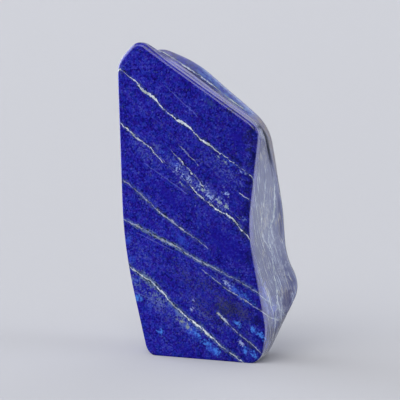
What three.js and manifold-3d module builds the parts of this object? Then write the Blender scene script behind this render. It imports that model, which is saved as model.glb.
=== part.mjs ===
// A free-standing piece of lapis lazuli as one solid: sawn flat in front, and ground and polished all round.
// Millimetres, +Z up. The flat face looks along -Y. The stone is 200 mm tall and stands on a flat foot.
//
// The skin is a loft. Ten corners of the stone's outline are followed from the flat front face, over the
// edge's polished round, to the shelf, the groove, the ridge and the back, which closes in a low dome.

import * as THREE from "three";
import { mergeVertices } from "three/addons/utils/BufferGeometryUtils.js";
import Module from "manifold-3d";

// Driving dimensions.
const BACK_DEPTH = 57; // from the flat face to the top of the back's dome
const BACK_CENTRE = { x: 51, z: 92 }; // where the back's dome closes
const DOME_RINGS = [0.93, 0.76, 0.52, 0.26]; // rings of the dome, as shares of the back's outline
const FOOT_CUT = { width: 400, depth: 30 }; // the slab that is ground away under the foot
const WELD = 1e-4; // points closer than this are one point of a solid

// Rows of faces between one station of the loft and the next.
const ROWS = { edge: 4, shelf: 5, groove: 3, ridge: 6, back: 6 };

// The outline's corners, anticlockwise as seen from the front, starting at the lower left.
// Each station gives the corner's x, y, z and how far from it its rounding starts:
//   front - where the flat face ends
//   shelf - the back of the ledge that runs behind the flat face's top edge
//   groove - the seam that polished away deeper, from behind the crown down past the shoulder
//   ridge - where the sides turn over to the back
//   back - the outline that the back's dome springs from
// edge is the radius of the polished edge round the flat face.
// turn is the number of steps round the corner, and run the number along the side after it.
const CORNERS = [
  {
    name: "left foot",
    front: [21.2, 0, 0.8, 6],
    shelf: [18.5, 14, -1.5, 7],
    groove: [17.8, 24, -1.5, 8],
    ridge: [18.5, 34, -1.5, 10],
    back: [29, 47, 8, 14],
    edge: 1.5,
    turn: 6,
    run: 9,
  },
  {
    name: "right foot",
    front: [95, 0, 1.4, 7],
    shelf: [94.5, 14, -0.6, 8],
    groove: [92.5, 24, -1, 9],
    ridge: [86.4, 34, -1.5, 10],
    back: [79, 47, 8, 14],
    edge: 2.2,
    turn: 6,
    run: 1,
  },
  {
    name: "knee",
    front: [101, 0, 18, 8],
    shelf: [103.4, 20, 26, 12],
    groove: [105, 34, 35, 11],
    ridge: [106.7, 45, 43.5, 7],
    back: [97, 53, 48, 14],
    edge: 2,
    turn: 7,
    run: 3,
  },
  {
    name: "waist",
    front: [88.4, 0, 83, 15],
    shelf: [92.2, 20, 78, 18],
    groove: [95.2, 32, 72, 12],
    ridge: [98.4, 42, 63, 9],
    back: [88, 51, 76, 12],
    edge: 1.6,
    turn: 7,
    run: 2,
  },
  {
    name: "flank",
    front: [91.6, 0, 112, 9],
    shelf: [96.3, 15, 117, 12],
    groove: [97.6, 24, 117, 12],
    ridge: [98.6, 35, 97, 14],
    back: [88.5, 49, 106, 12],
    edge: 1.7,
    turn: 4,
    run: 4,
  },
  {
    name: "shoulder",
    front: [95.4, 0, 146, 7],
    shelf: [96.4, 11, 147.2, 10],
    groove: [94.2, 15.5, 145.2, 9],
    ridge: [91.6, 30, 146.8, 12],
    back: [80, 43, 137, 14],
    edge: 2,
    turn: 7,
    run: 8,
  },
  {
    name: "crest",
    front: [44, 0, 178.6, 14],
    shelf: [44.6, 11.5, 180.9, 14],
    groove: [43.6, 16.5, 178.6, 14],
    ridge: [39.5, 31, 187.2, 18],
    back: [43, 43, 172, 9],
    edge: 2,
    turn: 5,
    run: 4,
  },
  {
    name: "crown",
    front: [13.4, 0, 198, 5],
    shelf: [11.6, 12, 200.1, 6],
    groove: [16.5, 18, 195, 6],
    ridge: [14, 31, 195.3, 8],
    back: [27, 42, 182, 7],
    edge: 2.8,
    turn: 7,
    run: 2,
  },
  {
    name: "brow",
    front: [0.8, 0, 185, 7],
    shelf: [-0.8, 12, 187, 7],
    groove: [0.5, 19, 184, 9],
    ridge: [4, 30, 182, 8],
    back: [16, 42, 172, 7],
    edge: 2.8,
    turn: 6,
    run: 9,
  },
  {
    name: "hip",
    front: [3.7, 0, 70, 30],
    shelf: [0.2, 13, 70, 30],
    groove: [-0.8, 22, 71, 30],
    ridge: [0.5, 33, 74, 30],
    back: [11, 47, 80, 28],
    edge: 1.2,
    turn: 9,
    run: 5,
  },
];

// The point that lies a given distance from one corner on the way to another.
function stepFrom(corner, other, distance) {
  return corner.clone().lerp(other, distance / corner.distanceTo(other));
}

// One closed ring of points through a station: straight sides, with a rounded turn at each corner.
function stationRing(station) {
  const corners = CORNERS.map(({ [station]: [x, y, z] }) => new THREE.Vector3(x, y, z));
  const bends = CORNERS.map(({ [station]: place }) => place[3]);
  const ring = [];
  corners.forEach((corner, i) => {
    const { turn, run } = CORNERS[i];
    const next = (i + 1) % corners.length;
    const arcStart = stepFrom(corner, corners.at(i - 1), bends[i]);
    const arcEnd = stepFrom(corner, corners[next], bends[i]);
    const sideEnd = stepFrom(corners[next], corner, bends[next]);
    ring.push(...new THREE.QuadraticBezierCurve3(arcStart, corner, arcEnd).getPoints(turn));
    for (let step = 1; step < run; step += 1) ring.push(arcEnd.clone().lerp(sideEnd, step / run));
  });
  return ring;
}

// The radius of the polished edge at each point of the flat face's outline.
function edgeRadii() {
  return CORNERS.flatMap(({ edge, turn, run }, i) => {
    const nextEdge = CORNERS[(i + 1) % CORNERS.length].edge;
    return Array.from({ length: turn + run }, (_, step) =>
      THREE.MathUtils.lerp(edge, nextEdge, Math.max(0, step - turn) / run),
    );
  });
}

// The rings of the polished edge, a quarter round from the flat face to the side.
function edgeRings(face) {
  const radii = edgeRadii();
  return Array.from({ length: ROWS.edge }, (_, row) => {
    const angle = (((row + 1) / ROWS.edge) * Math.PI) / 2;
    return face.map((point, i) => {
      const along = face[(i + 1) % face.length].clone().sub(face.at(i - 1));
      const outward = new THREE.Vector3(along.z, 0, -along.x).normalize();
      const rounded = point.clone().addScaledVector(outward, radii[i] * Math.sin(angle));
      rounded.y += radii[i] * (1 - Math.cos(angle));
      return rounded;
    });
  });
}

// A ring of the back's dome: the back's outline drawn in towards the dome's centre.
function domeRing(back, share) {
  const top = new THREE.Vector3(BACK_CENTRE.x, BACK_DEPTH, BACK_CENTRE.z);
  return back.map((point) => {
    const drawn = top.clone().lerp(point, share);
    drawn.y = BACK_DEPTH - (BACK_DEPTH - point.y) * share ** 3;
    return drawn;
  });
}

// All the rings of the skin, from the flat face's outline to the last ring of the back's dome.
function skinRings() {
  const face = stationRing("front");
  const edge = edgeRings(face);
  const back = stationRing("back");
  const stations = [
    edge.at(-1),
    ...["shelf", "groove", "ridge"].map(stationRing),
    back,
    domeRing(back, DOME_RINGS[0]),
  ];
  const spans = [ROWS.shelf, ROWS.groove, ROWS.ridge, ROWS.back];
  const sides = face.map((_, i) => {
    const places = stations.map((ring) => ring[i]);
    const line = new THREE.CatmullRomCurve3(places, false, "centripetal");
    const pointAt = (station) => line.getPoint(station / (stations.length - 1));
    return spans.flatMap((rows, span) =>
      Array.from({ length: rows }, (_, row) => pointAt(span + (row + 1) / rows)),
    );
  });
  const sideRings = sides[0].map((_, row) => sides.map((line) => line[row]));
  const dome = DOME_RINGS.map((share) => domeRing(back, share));
  return [face, ...edge, ...sideRings, ...dome];
}

// The closed skin as a geometry: the flat face, the rings in turn, and the point that closes the dome.
function skinGeometry() {
  const rings = skinRings();
  const count = rings[0].length;
  const points = rings.flat();
  points.push(new THREE.Vector3(BACK_CENTRE.x, BACK_DEPTH, BACK_CENTRE.z));
  const faces = THREE.ShapeUtils.triangulateShape(
    rings[0].map(({ x, z }) => new THREE.Vector2(x, z)),
    [],
  );
  for (let row = 0; row + 1 < rings.length; row += 1)
    for (let i = 0; i < count; i += 1) {
      const here = row * count + i;
      const beside = row * count + ((i + 1) % count);
      faces.push([here, here + count, beside]);
      faces.push([beside, here + count, beside + count]);
    }
  const lastRing = (rings.length - 1) * count;
  for (let i = 0; i < count; i += 1)
    faces.push([lastRing + i, points.length - 1, lastRing + ((i + 1) % count)]);
  const geometry = new THREE.BufferGeometry().setFromPoints(points);
  geometry.setIndex(faces.flat());
  return geometry;
}

const wasm = await Module();
wasm.setup();

// A closed geometry as a manifold-3d solid.
function solidOf(geometry) {
  const bare = geometry.clone();
  bare.deleteAttribute("normal");
  bare.deleteAttribute("uv");
  const merged = mergeVertices(bare, WELD);
  return new wasm.Manifold(
    new wasm.Mesh({
      numProp: 3,
      vertProperties: new Float32Array(merged.attributes.position.array),
      triVerts: new Uint32Array(merged.index.array),
    }),
  );
}

// A manifold-3d solid as a geometry.
function geometryOf(solid) {
  const { vertProperties, triVerts } = solid.getMesh();
  const geometry = new THREE.BufferGeometry();
  geometry.setAttribute("position", new THREE.BufferAttribute(vertProperties, 3));
  geometry.setIndex(new THREE.BufferAttribute(triVerts, 1));
  geometry.computeVertexNormals();
  return geometry;
}

// The stone with its foot ground flat at z = 0.
function groundStone() {
  const slab = new THREE.BoxGeometry(FOOT_CUT.width, FOOT_CUT.width, FOOT_CUT.depth);
  slab.translate(0, 0, -FOOT_CUT.depth / 2);
  return geometryOf(solidOf(skinGeometry()).subtract(solidOf(slab)));
}

const lapis = new THREE.MeshStandardMaterial({
  color: 0x272591,
  roughness: 0.15,
  metalness: 0,
});

const stone = new THREE.Mesh(groundStone(), lapis);
stone.name = "lapis_stone";

// The part's origin is under the middle of its box, on the surface that it stands on.
stone.geometry.computeBoundingBox();
const middle = stone.geometry.boundingBox.getCenter(new THREE.Vector3());
stone.position.set(-middle.x, -middle.y, 0);

const part = new THREE.Group();
part.add(stone);

export default part;
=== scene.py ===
# %% [markdown]
# # A polished piece of lapis lazuli
#
# Lapis lazuli is a rock: blue lazurite grains grown through with white calcite and flecks of pyrite. This
# piece is a free form. One face was sawn flat and lapped to a mirror, and the rest was ground by hand on
# wet belts, so the sides follow the harder and softer layers of the rock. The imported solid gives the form
# at its real size, and this script gives it a fine skin, the rock's own pattern and a small studio to stand
# in.

# %% Load the frame
import math

import bmesh
import bpy
import numpy as np
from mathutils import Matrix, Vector, noise


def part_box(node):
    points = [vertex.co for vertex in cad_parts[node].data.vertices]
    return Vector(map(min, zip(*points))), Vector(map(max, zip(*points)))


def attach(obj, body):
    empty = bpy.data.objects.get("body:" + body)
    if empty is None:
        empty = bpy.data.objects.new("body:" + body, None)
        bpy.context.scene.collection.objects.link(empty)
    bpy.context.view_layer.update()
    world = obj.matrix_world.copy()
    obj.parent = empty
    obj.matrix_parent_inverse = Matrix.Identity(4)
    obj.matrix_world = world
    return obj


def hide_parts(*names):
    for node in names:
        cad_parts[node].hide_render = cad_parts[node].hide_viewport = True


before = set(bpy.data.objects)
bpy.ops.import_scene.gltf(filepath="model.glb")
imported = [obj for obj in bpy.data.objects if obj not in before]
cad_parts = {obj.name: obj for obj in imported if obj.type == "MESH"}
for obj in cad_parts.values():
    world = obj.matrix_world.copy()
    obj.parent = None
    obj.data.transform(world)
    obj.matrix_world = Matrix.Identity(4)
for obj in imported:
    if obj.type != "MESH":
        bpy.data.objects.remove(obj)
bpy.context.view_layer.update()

STONE = "lapis_stone"
MM = 0.001
LOW, HIGH = (Vector(corner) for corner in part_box(STONE))
print("the solid's box in mm:", [round(side / MM, 1) for side in HIGH - LOW])


# %% [markdown]
# ## The camera
#
# A tall piece like this is best seen from well back through a long lens, so that its upright edges stay
# parallel. The camera stands to the right of the flat face and a little above the stone's middle, which
# shows the mirror face, the ground side and the sloping top at once.

# %% Camera
VIEW_AZIMUTH = math.radians(25)
VIEW_ELEVATION = math.radians(6.2)
VIEW_DISTANCE = 1.35
LENS_MM = 193.8
AIM = Vector((0.00515, LOW.y, 0.1012))

towards_camera = Vector(
    (
        math.sin(VIEW_AZIMUTH) * math.cos(VIEW_ELEVATION),
        -math.cos(VIEW_AZIMUTH) * math.cos(VIEW_ELEVATION),
        math.sin(VIEW_ELEVATION),
    )
)
camera = bpy.data.objects.new("camera", bpy.data.cameras.new("camera"))
camera.data.lens = LENS_MM
camera.location = AIM + VIEW_DISTANCE * towards_camera
camera.rotation_euler = (-towards_camera).to_track_quat("-Z", "Y").to_euler()
bpy.context.scene.collection.objects.link(camera)
bpy.context.scene.camera = camera
print("camera at", [round(value, 3) for value in camera.location])


# %% [markdown]
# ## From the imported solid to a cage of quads
#
# The solid is a loft: rings of points from the flat face to the back, with every four-sided cell split by a
# diagonal. A Subdivision Surface gives its smoothest skin on quads, so the diagonals come out again. In
# each triangle of such a loft the three edges come in the same order round it: one across the rings, the
# diagonal, one along a ring. Knowing one edge along the flat face's rim, that order gives every other edge
# by walking from neighbour to neighbour.
#
# At the back the rings close round one point, the pole. It comes out too, which leaves one many-sided face
# there, and the points that crowd together around it are merged. The flat face and the foot become one face
# each.

# %% Cage
SAME_POINT = 1e-6
RIM_SUPPORT = 0.35 * MM
CAP_FROM = 54.5 * MM
CAP_SPACING = 1.3 * MM


def on_front(face):
    """Whether a face lies in the flat, sawn front."""
    return all(abs(vert.co.y - LOW.y) < SAME_POINT for vert in face.verts)


def on_foot(face):
    """Whether a face lies in the flat, ground foot."""
    return all(abs(vert.co.z) < SAME_POINT for vert in face.verts)


def diagonals(skin, rim):
    """The diagonal edges of a lofted skin, in the order that a walk from the flat face's rim meets them."""
    skin = set(skin)
    found = []
    visited = set()
    waiting = [(edge, "along") for edge in rim]
    order = {"across": "diagonal", "diagonal": "along", "along": "across"}
    while waiting:
        edge, kind = waiting.pop(0)
        for loop in edge.link_loops:
            if loop.face not in skin or loop.face in visited:
                continue
            visited.add(loop.face)
            step, name = loop, kind
            for _ in range(3):
                if name == "diagonal" and skin.issuperset(step.edge.link_faces):
                    found.append(step.edge)
                waiting.append((step.edge, name))
                step, name = step.link_loop_next, order[name]
    return list(dict.fromkeys(found))


cage = bmesh.new()
cage.from_mesh(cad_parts[STONE].data)
bmesh.ops.remove_doubles(cage, verts=cage.verts, dist=SAME_POINT)
pole = max(cage.verts, key=lambda vert: vert.co.y)
skin = [face for face in cage.faces if not (on_front(face) or on_foot(face) or pole in face.verts)]
rim = [edge for edge in cage.edges if sum(map(on_front, edge.link_faces)) == 1]
bmesh.ops.dissolve_edges(cage, edges=diagonals(skin, rim), use_verts=False)
bmesh.ops.dissolve_verts(cage, verts=[pole])
crowded = [vert for vert in cage.verts if vert.co.y - LOW.y > CAP_FROM]
bmesh.ops.remove_doubles(cage, verts=crowded, dist=CAP_SPACING)
for is_flat in (on_front, on_foot):
    bmesh.ops.dissolve_faces(cage, faces=[face for face in cage.faces if is_flat(face)])
corners = [len(face.verts) for face in cage.faces]
print("cage:", {sides: corners.count(sides) for sides in sorted(set(corners))})


# %% [markdown]
# ## A fine, smooth skin
#
# The flat face gets a thin border loop, so that the smoothing leaves it flat up to its polished rim. The
# foot keeps its edge by a crease. Two levels of subdivision then turn each quad of the cage into sixteen.

# %% Smooth skin
LEVELS = 2
FOOT_CREASE = 0.8

front = [face for face in cage.faces if on_front(face)]
bmesh.ops.inset_region(cage, faces=front, thickness=RIM_SUPPORT, use_even_offset=True)
crease = cage.edges.layers.float.new("crease_edge")
for edge in cage.edges:
    if sum(map(on_foot, edge.link_faces)) == 1:
        edge[crease] = FOOT_CREASE
bmesh.ops.recalc_face_normals(cage, faces=cage.faces)
mesh = bpy.data.meshes.new("polished_stone")
cage.to_mesh(mesh)
cage.free()
mesh.shade_smooth()
stone = bpy.data.objects.new("polished_stone", mesh)
bpy.context.scene.collection.objects.link(stone)
smooth = stone.modifiers.new("smooth skin", "SUBSURF")
smooth.levels = smooth.render_levels = LEVELS


def applied(piece):
    """Gives a piece the mesh that its modifiers make, and takes the modifiers off."""
    evaluated = piece.evaluated_get(bpy.context.evaluated_depsgraph_get())
    piece.data = bpy.data.meshes.new_from_object(evaluated)
    piece.modifiers.clear()


applied(stone)
print("smooth skin:", len(stone.data.vertices), "points,", len(stone.data.polygons), "faces")


# %% [markdown]
# ## Where the rock's layers run
#
# Everything in this rock follows its layering: veins, pale bands, and the seam that wore into a groove
# along the top. So places on the stone are given in millimetres from the lower left front corner of its
# box: across the flat face, deep into the stone, and up. A layer is a plane in that space. The layers cut
# the flat face slantwise, falling to the right, and the seam dips steeply towards the back.

# %% Places and layers
SEAM_NORMAL = Vector((0.248, 0.92, 0.316))
SEAM_AT = 83.85


def places(piece):
    """The points of a piece in millimetres from the lower left front corner of the stone's box."""
    points = np.empty(len(piece.data.vertices) * 3)
    piece.data.vertices.foreach_get("co", points)
    return (points.reshape(-1, 3) - np.array(LOW)) / MM


seam = places(stone) @ np.array(SEAM_NORMAL) - SEAM_AT
print("the seam passes through", int((abs(seam) < 1).sum()), "of", len(seam), "points")


# %% [markdown]
# ## More faces where the relief is fine
#
# The groove along the seam is one to three millimetres wide, and the ripples of the layers are two to five,
# so the long cells are split until they can hold them. Splitting an edge in two and letting Blender fill
# the grid keeps most faces four-sided.

# %% Finer cells
CELL = 1.35 * MM
SEAM_CELL = 0.55 * MM
SEAM_BAND = 2.2
SEAM_ROUNDS = 2
FACE_MARGIN, FOOT_MARGIN = 0.2, 0.05


def seam_distance(point):
    """How far a point in metres lies from the seam's middle plane, in millimetres."""
    return (point - LOW).dot(SEAM_NORMAL) / MM - SEAM_AT


def split_long(form, limit, wanted):
    """Splits the edges longer than a limit whose middle is wanted, once."""
    long_edges = []
    for edge in form.edges:
        middle = (edge.verts[0].co + edge.verts[1].co) / 2
        if edge.calc_length() > limit and wanted(middle):
            long_edges.append(edge)
    bmesh.ops.subdivide_edges(form, edges=long_edges, cuts=1, use_grid_fill=True)
    return len(long_edges)


def is_skin(middle):
    """Whether a point in metres lies off the flat face and the foot, where nothing is raised."""
    return middle.y > LOW.y + FACE_MARGIN * MM and middle.z > FOOT_MARGIN * MM


def is_seam(middle):
    """Whether a point in metres lies on the skin and close to the seam."""
    return is_skin(middle) and abs(seam_distance(middle)) < SEAM_BAND


form = bmesh.new()
form.from_mesh(stone.data)
split = [split_long(form, CELL, is_skin)]
for _ in range(SEAM_ROUNDS):
    split.append(split_long(form, SEAM_CELL, is_seam))
form.to_mesh(stone.data)
form.free()
stone.data.shade_smooth()
print("edges split:", split, "now", len(stone.data.polygons), "faces")


# %% [markdown]
# ## An even back
#
# The rings of the loft crowd together where they close at the middle of the back, and leave fine folds
# there. A hand-ground back is one even dome. So the depth of that part is fitted with a polynomial in the
# place across and up, by least squares, and the fitted depth takes over smoothly from the rings.

# %% Even back
BACK_FROM, BACK_WHOLLY = 47, 51.5
HALF_ACROSS, HALF_UP = 50, 100
DEGREE = 5
POWERS = [(i, j) for i in range(DEGREE + 1) for j in range(DEGREE + 1 - i)]


def smoothstep(low, high, value):
    """Goes smoothly from 0 at low to 1 at high."""
    share = np.clip((value - low) / (high - low), 0, 1)
    return share * share * (3 - 2 * share)


points = places(stone)
across, deep, up = points.T
on_back = deep > BACK_FROM
sideways, upwards = across / HALF_ACROSS - 1, up / HALF_UP - 1
terms = np.column_stack([sideways**i * upwards**j for i, j in POWERS])
weights = np.linalg.lstsq(terms[on_back], deep[on_back], rcond=None)[0]
change = smoothstep(BACK_FROM, BACK_WHOLLY, deep) * (terms @ weights - deep)
points[:, 1] += change
stone.data.vertices.foreach_set("co", (points * MM + np.array(LOW)).ravel())
stone.data.update()
print(f"back: {on_back.sum()} points fitted and moved by at most {abs(change).max():.2f} mm")


# %% [markdown]
# ## Relief from grinding and polishing
#
# A belt takes soft calcite away faster than hard lazurite. The seam is the deepest of these grooves, and it
# is deeper and wider still at the shoulder. A shallow valley runs along the ledge in front of it. The other
# layers leave ripples a tenth of a millimetre high, and the hands that turned the stone leave slow waves.
# All of it is made as real geometry by moving each point along its own normal. The lapped front face and
# the foot stay flat, so each part of the relief comes in gently over a range of places.

# %% Relief
GROOVE_DEPTH, GROOVE_WIDTH, GROOVE_UP = 1.1, 0.8, (105, 135)
SHOULDER_DEPTH, SHOULDER_WIDTH, SHOULDER_ACROSS = 0.9, 0.8, (84, 94)
VALLEY_DEPTH, VALLEY_AT, VALLEY_WIDTH, FACING_UP = 0.22, 4.4, 1.0, (0.25, 0.6)
RIPPLES = ((0.10, 2.6, 45.0), (0.045, 1.1, 28.0))
BEND, BEND_LENGTH = 2.5, 30
WAVES, WAVE_LENGTH = 0.45, 32.0
GROUND_DEEP, GROUND_UP = (2.5, 7), (0.5, 5)
RELIEF_DEEP = (0.2, 1.5)
SEED = Vector((17.0, 5.0, 9.0))


def normals(piece):
    """The outward directions at the points of a piece."""
    outward = np.empty(len(piece.data.vertices) * 3)
    piece.data.vertices.foreach_get("normal", outward)
    return outward.reshape(-1, 3)


def noise_at(points, lengths):
    """Smooth noise from -1 to 1 at points, with its own length along each of the rock's three directions."""
    scaled = points / np.array(lengths)
    return np.array([noise.noise(Vector(point) + SEED) for point in scaled])


points, outward = places(stone), normals(stone)
across, deep, up = points.T
bend = BEND * noise_at(points, (BEND_LENGTH,) * 3)
seam = points @ np.array(SEAM_NORMAL) - SEAM_AT
upper = smoothstep(*GROOVE_UP, up)
shoulder = smoothstep(*SHOULDER_ACROSS, across)
groove_width = GROOVE_WIDTH + SHOULDER_WIDTH * shoulder
groove = -(GROOVE_DEPTH + SHOULDER_DEPTH * shoulder) * np.exp(-((seam / groove_width) ** 2)) * upper
on_top = smoothstep(*FACING_UP, outward[:, 2])
groove -= VALLEY_DEPTH * np.exp(-(((deep - VALLEY_AT) / VALLEY_WIDTH) ** 2)) * on_top
in_layers = np.column_stack((across, seam + bend, up))
ripple = sum(height * noise_at(in_layers, (length, width, length)) for height, width, length in RIPPLES)
wave = WAVES * noise_at(points, (WAVE_LENGTH,) * 3)
hand_ground = smoothstep(*GROUND_DEEP, deep) * smoothstep(*GROUND_UP, up)
raised = groove + (ripple + wave) * hand_ground
raised *= smoothstep(*RELIEF_DEEP, deep) * (up > FOOT_MARGIN)
moved = points + outward * raised[:, None]
stone.data.vertices.foreach_set("co", (moved * MM + np.array(LOW)).ravel())
stone.data.update()
print(f"relief from {raised.min():.2f} to {raised.max():.2f} mm")

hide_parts(STONE)
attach(stone, "root")


# %% [markdown]
# ## Building a material in code
#
# A shader is a tree of small nodes. One helper adds any node: its settings are keyword arguments, and its
# inputs are given in the order they show in the node editor, each as a number, a colour, or another node.
# So a noise gets its place, its scale, its detail and its roughness, and a Map Range gets its value, the
# range that it comes from and the range that it goes to. Colours are written as the sRGB hex values that a
# colour picker shows, and one function turns them into the linear light that the renderer works in.

# %% Node helper
def linear(hex_colour):
    """A linear RGBA colour from an sRGB hex value."""
    channels = [int(hex_colour[i : i + 2], 16) / 255 for i in (1, 3, 5)]
    return [c / 12.92 if c <= 0.04045 else ((c + 0.055) / 1.055) ** 2.4 for c in channels] + [1.0]


def shown(sockets):
    """The sockets of a node that its settings leave in use."""
    return [socket for socket in sockets if socket.enabled]


def add(tree, kind, *inputs, **settings):
    """Adds a node with its settings and the values or links of its inputs, in order."""
    made = tree.nodes.new("ShaderNode" + kind)
    for name, value in settings.items():
        setattr(made, name, value)
    for socket, value in zip(shown(made.inputs), inputs):
        if isinstance(value, bpy.types.Node):
            value = shown(value.outputs)[0]
        if isinstance(value, bpy.types.NodeSocket):
            tree.links.new(value, socket)
        elif value is not None:
            socket.default_value = value
    return made


print("a middle grey in linear light:", [round(value, 3) for value in linear("#808080")])


# %% [markdown]
# ## Lapis lazuli, lapped and polished
#
# The real finish is bare rock, polished with ever finer grit: a clear gloss like glass, with nothing on top
# of it. Lapis has an IOR of 1.50, no metal in it but the pyrite, and a polished roughness of about 0.1. Its
# colour is a matter of grains, so the pattern is built in the rock's own space, in millimetres, and not
# painted on: a cut anywhere through it would show the same layers.
#
# Two noises bend that space. A slow drift grows with the depth, so the layers lie still on the flat face
# and wander round the sides, and a fine wobble takes the straightness out of every line. The upper layers
# dip steeply into the stone, as the seam does, and the lower ones gently.

# %% Where the pattern lives
ALONG = Vector((0.8, 0.0, -0.6))
LEVEL = Vector((0.6, 0.0, 0.8))
ALONG_START = 120.0
DIP_UPPER = 2.9
DIP_LOWER = 0.45
DRIFT_MM, DRIFT_MOST, DRIFT_DEPTH = 18, 8.4, 24.0
WOBBLE_MM, WOBBLE_MOST = 3, 0.6

lapis = bpy.data.materials.new("lapis_lapped_and_polished")
lapis.use_nodes = True
rock = lapis.node_tree
surface = rock.nodes["Principled BSDF"]

spot = add(rock, "TexCoord").outputs["Object"]
place = add(rock, "VectorMath", spot, [1 / MM] * 3, -LOW / MM, operation="MULTIPLY_ADD")
across_stone, depth, height_up = shown(add(rock, "SeparateXYZ", place).outputs)
# A noise runs from 0 to 1, so half is taken off to let it push both ways.
drift = add(rock, "TexNoise", place, 1 / DRIFT_MM, 1.0)
drift = add(rock, "VectorMath", drift.outputs["Color"], [0.5] * 3, operation="SUBTRACT")
wander = add(rock, "MapRange", depth, 0.0, DRIFT_DEPTH, 0.0, DRIFT_MOST)
drift = add(rock, "VectorMath", drift, wander, operation="SCALE")
wobble = add(rock, "TexNoise", place, 1 / WOBBLE_MM, 1.0)
wobble = add(rock, "VectorMath", wobble.outputs["Color"], [0.5] * 3, operation="SUBTRACT")
steady = add(rock, "VectorMath", wobble, [WOBBLE_MOST] * 3, place, operation="MULTIPLY_ADD")
bent = add(rock, "VectorMath", steady, drift, operation="ADD")


def layered(dip):
    """Coordinates in millimetres: along the layers' trace on the flat face, level across them, and depth."""
    along = add(rock, "VectorMath", bent, ALONG + Vector((0, ALONG.z * dip, 0)), operation="DOT_PRODUCT")
    level = add(rock, "VectorMath", bent, LEVEL + Vector((0, LEVEL.z * dip, 0)), operation="DOT_PRODUCT")
    along, level = along.outputs["Value"], level.outputs["Value"]
    return add(rock, "CombineXYZ", add(rock, "Math", along, ALONG_START, operation="ADD"), level, depth)


upper_layers = layered(DIP_UPPER)
lower_layers = layered(DIP_LOWER)
behind_seam = add(rock, "VectorMath", steady, SEAM_NORMAL, operation="DOT_PRODUCT").outputs["Value"]
behind_seam = add(rock, "Math", behind_seam, SEAM_AT, operation="SUBTRACT")
print("layers: upper dip", DIP_UPPER, "and lower dip", DIP_LOWER)


# %% [markdown]
# ### Blue grains
#
# Lazurite grows in grains of half a millimetre to two millimetres, each a little lighter or darker. Cells
# give the grains, a finer noise breaks their outlines, slow clouds make whole areas deeper, and a noise
# that is pressed flat along the layers gives faint stripes. Their sum runs through one ramp of blues, from
# nearly black violet to a pale cornflower. Over it go pale hairs, a lean to violet here and to azure there,
# a slow darkening to the right, and a few grains of a duller colour.

# %% Grains
GRAIN_MM, MOTTLE_MM, CLOUD_MM = 0.9, 1.5, 11.0
STRIPE_MM = (14, 14, 1.1)
TONE_START = -0.53
GRAIN_SHARE, MOTTLE_SHARE, CLOUD_SHARE, STRIPE_SHARE = 0.36, 1.00, 0.42, 0.20
BLUES = (
    (0.22, "#07054e"),
    (0.36, "#130f7a"),
    (0.49, "#201c96"),
    (0.60, "#2a2ba5"),
    (0.72, "#3c44ae"),
    (0.86, "#616ebe"),
)
LAYER_TURN = SEAM_NORMAL.to_track_quat("Z", "Y").to_euler()

grains = add(rock, "TexVoronoi", bent, 1 / GRAIN_MM)
grain_red, grain_green, grain_blue = shown(add(rock, "SeparateColor", grains.outputs["Color"]).outputs)
mottle = add(rock, "TexNoise", place, 1 / MOTTLE_MM, 5.0, 0.7)
cloud = add(rock, "TexNoise", place, 1 / CLOUD_MM, 3.0, 0.5)
flattened = add(rock, "Mapping", bent, None, LAYER_TURN, STRIPE_MM, vector_type="TEXTURE")
stripes = add(rock, "TexNoise", flattened, 1.0, 3.0, 0.6)
tone = add(rock, "Math", grain_red, GRAIN_SHARE, TONE_START, operation="MULTIPLY_ADD")
for part, share in ((mottle, MOTTLE_SHARE), (cloud, CLOUD_SHARE), (stripes, STRIPE_SHARE)):
    tone = add(rock, "Math", part, share, tone, operation="MULTIPLY_ADD")
blues = add(rock, "ValToRGB", tone)
stops = blues.color_ramp.elements
while len(stops) < len(BLUES):
    stops.new(1.0)
for stop, (at, colour) in zip(stops, BLUES):
    stop.position = at
    stop.color = linear(colour)
print("blues:", [hex_value for _, hex_value in BLUES])

# %% Hairs and hues
HAIR, HAIR_MM, HAIR_HALF, HAIR_SHARE = "#5a66b2", 3.2, 0.03, 0.3
SPARSE_MM, SPARSE_LIMITS = CLOUD_MM / 2, (0.54, 0.64)
VIOLET, AZURE = "#31208e", "#1c3198"
HUE_MM, HUE_SHARE = 3.5, 0.4
VIOLET_LIMITS, AZURE_LIMITS = (0.5, 0.38), (0.5, 0.62)
SHADE, SHADE_ACROSS, SHADE_SHARE = "#0d0d40", (20.0, 90.0), 0.2
SPECK, SPECK_LIMITS, SPECK_SHARE = "#4c5686", (0.93, 0.98), 0.4

# Where a noise passes its middle value it draws a thin line, and that line is a hair.
hairs = add(rock, "TexNoise", place, 1 / HAIR_MM, 1.0)
hairs = add(rock, "Math", hairs, 0.5, operation="SUBTRACT")
hairs = add(rock, "Math", hairs, operation="ABSOLUTE")
hairs = add(rock, "MapRange", hairs, 0.0, HAIR_HALF, HAIR_SHARE, 0.0)
sparse = add(rock, "TexNoise", place, 1 / SPARSE_MM, 2.0)
sparse = add(rock, "MapRange", sparse, *SPARSE_LIMITS)
hairs = add(rock, "Math", hairs, sparse, operation="MULTIPLY")
colour = add(rock, "Mix", hairs, blues, linear(HAIR), data_type="RGBA")
hue = add(rock, "TexNoise", place, 1 / HUE_MM, 2.0)
violet = add(rock, "MapRange", hue, *VIOLET_LIMITS, 0.0, HUE_SHARE)
colour = add(rock, "Mix", violet, colour, linear(VIOLET), data_type="RGBA")
azure = add(rock, "MapRange", hue, *AZURE_LIMITS, 0.0, HUE_SHARE)
colour = add(rock, "Mix", azure, colour, linear(AZURE), data_type="RGBA")
shade = add(rock, "MapRange", across_stone, *SHADE_ACROSS, 0.0, SHADE_SHARE)
colour = add(rock, "Mix", shade, colour, linear(SHADE), data_type="RGBA")
specks = add(rock, "MapRange", grain_blue, *SPECK_LIMITS, 0.0, SPECK_SHARE)
colour = add(rock, "Mix", specks, colour, linear(SPECK), data_type="RGBA")
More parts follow.
